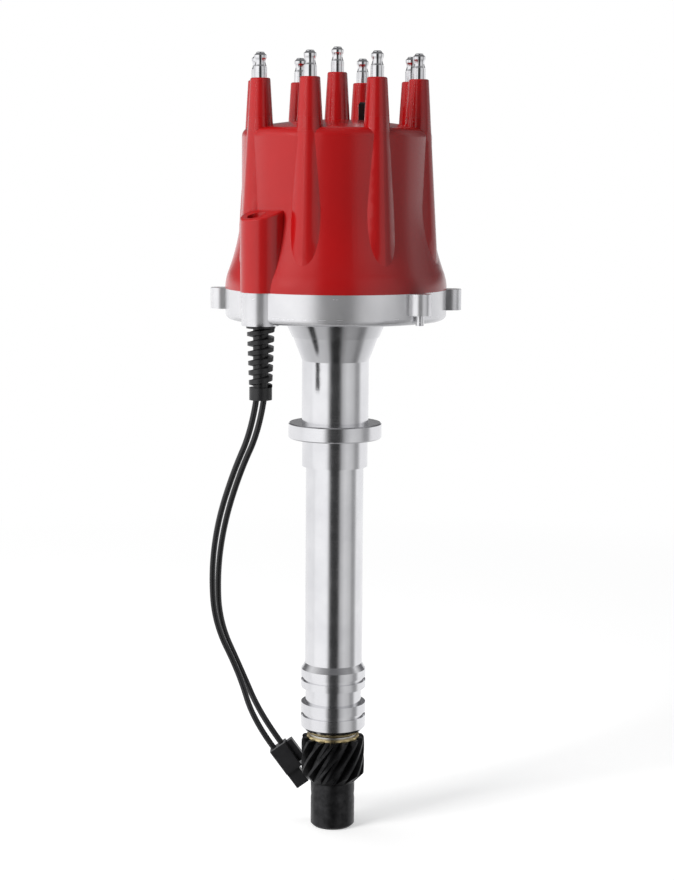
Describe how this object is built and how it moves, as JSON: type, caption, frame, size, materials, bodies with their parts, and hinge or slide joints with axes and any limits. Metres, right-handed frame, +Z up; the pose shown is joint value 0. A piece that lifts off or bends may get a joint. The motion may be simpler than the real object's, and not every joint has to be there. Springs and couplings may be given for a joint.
{
  "type": "ignition distributor",
  "caption": "Billet ignition distributor with a red towered cap, long shaft housing, helical drive gear and a short two-wire pickup lead.",
  "frame": {"origin": "on the shaft axis, in the collar's lower face, which seats on the intake manifold", "axes": "+Z up the shaft axis towards the cap, -Y the front, where the pickup leads leave at the front left"},
  "size_m": [0.1246, 0.1086, 0.3894],
  "materials": {
    "machined_aluminium": "turned and polished billet",
    "red_cap": "moulded red thermoset, satin gloss",
    "black_plastic": "moulded",
    "rotor_plastic": "moulded",
    "connector_plastic": "moulded nylon",
    "black_rubber": "moulded",
    "wire_insulation": "extruded, glossy",
    "terminal_chrome": "bright plated",
    "terminal_brass": "bright",
    "thrust_brass": "turned",
    "bronze": "sintered, oiled",
    "black_oxide": "black oxide on steel",
    "dark_steel": "blackened",
    "plated_steel": "zinc plated",
    "bearing_steel": "ground",
    "spring_steel": "drawn",
    "magnet": "sintered",
    "carbon": "pressed carbon"
  },
  "bodies": {
    "housing": {"housing": "machined_aluminium", "lower_bush": "bronze", "bearing_outer_race": "bearing_steel", "bearing_balls": "bearing_steel", "bearing_snap_ring": "spring_steel", "pickup_bracket": "plated_steel", "pickup_coil": "black_plastic", "pickup_pole": "plated_steel", "pickup_magnet": "magnet", "pickup_screws": "plated_steel", "bowl_leads": "wire_insulation", "strain_relief": "black_rubber", "lead_left": "wire_insulation", "lead_right": "wire_insulation", "connector_shell": "connector_plastic", "connector_terminals": "terminal_brass"},
    "cap": {"cap": "red_cap", "cap_vent": "black_plastic", "cap_screw_1": "plated_steel", "cap_screw_2": "plated_steel", "coil_terminal": "terminal_chrome", "carbon_button": "carbon", "button_spring": "spring_steel", "plug_terminal_1": "terminal_chrome", "plug_terminal_2": "terminal_chrome", "plug_terminal_3": "terminal_chrome", "plug_terminal_4": "terminal_chrome", "plug_terminal_5": "terminal_chrome", "plug_terminal_6": "terminal_chrome", "plug_terminal_7": "terminal_chrome", "plug_terminal_8": "terminal_chrome"},
    "shaft": {"shaft": "plated_steel", "drive_gear": "black_oxide", "gear_roll_pin": "spring_steel", "thrust_shim": "plated_steel", "thrust_washer": "thrust_brass", "bearing_inner_race": "bearing_steel", "sleeve_washer": "thrust_brass", "advance_cam": "plated_steel", "stop_bushing": "black_plastic", "cam_clip": "spring_steel"},
    "advance": {"advance_sleeve": "plated_steel", "reluctor": "plated_steel", "advance_plate": "plated_steel", "weight_pin_1": "plated_steel", "weight_pin_2": "plated_steel", "rotor_standoff_1": "terminal_brass", "rotor_standoff_2": "terminal_brass", "rotor_screw_1": "plated_steel", "rotor_screw_2": "plated_steel", "rotor": "rotor_plastic", "rotor_blade": "terminal_brass", "advance_spring_1": "spring_steel", "advance_spring_2": "spring_steel"},
    "weight_1": {"weight_1": "dark_steel"},
    "weight_2": {"weight_2": "dark_steel"}
  },
  "joints": [
    {"name": "shaft_spin", "type": "hinge", "parent": "housing", "child": "shaft", "pos_m": [0, 0, 0], "axis": [0, 0, 1], "continuous": true},
    {"name": "advance", "type": "hinge", "parent": "shaft", "child": "advance", "pos_m": [0, 0, 0.08], "axis": [0, 0, 1], "range_deg": [0, 14]},
    {"name": "weight_1_swing", "type": "hinge", "parent": "advance", "child": "weight_1", "pos_m": [0.022, 0, 0.086], "axis": [0, 0, -1], "range_deg": [0, 24.5]},
    {"name": "weight_2_swing", "type": "hinge", "parent": "advance", "child": "weight_2", "pos_m": [-0.022, 0, 0.086], "axis": [0, 0, -1], "range_deg": [0, 24.5]},
    {"name": "cap_lift", "type": "slide", "parent": "housing", "child": "cap", "axis": [0, 0, 1], "range_m": [0, 0.085]}
  ],
  "couplings": [
    {"joint": "weight_1_swing", "follows": "advance", "ratio": 1.75},
    {"joint": "weight_2_swing", "follows": "advance", "ratio": 1.75}
  ]
}
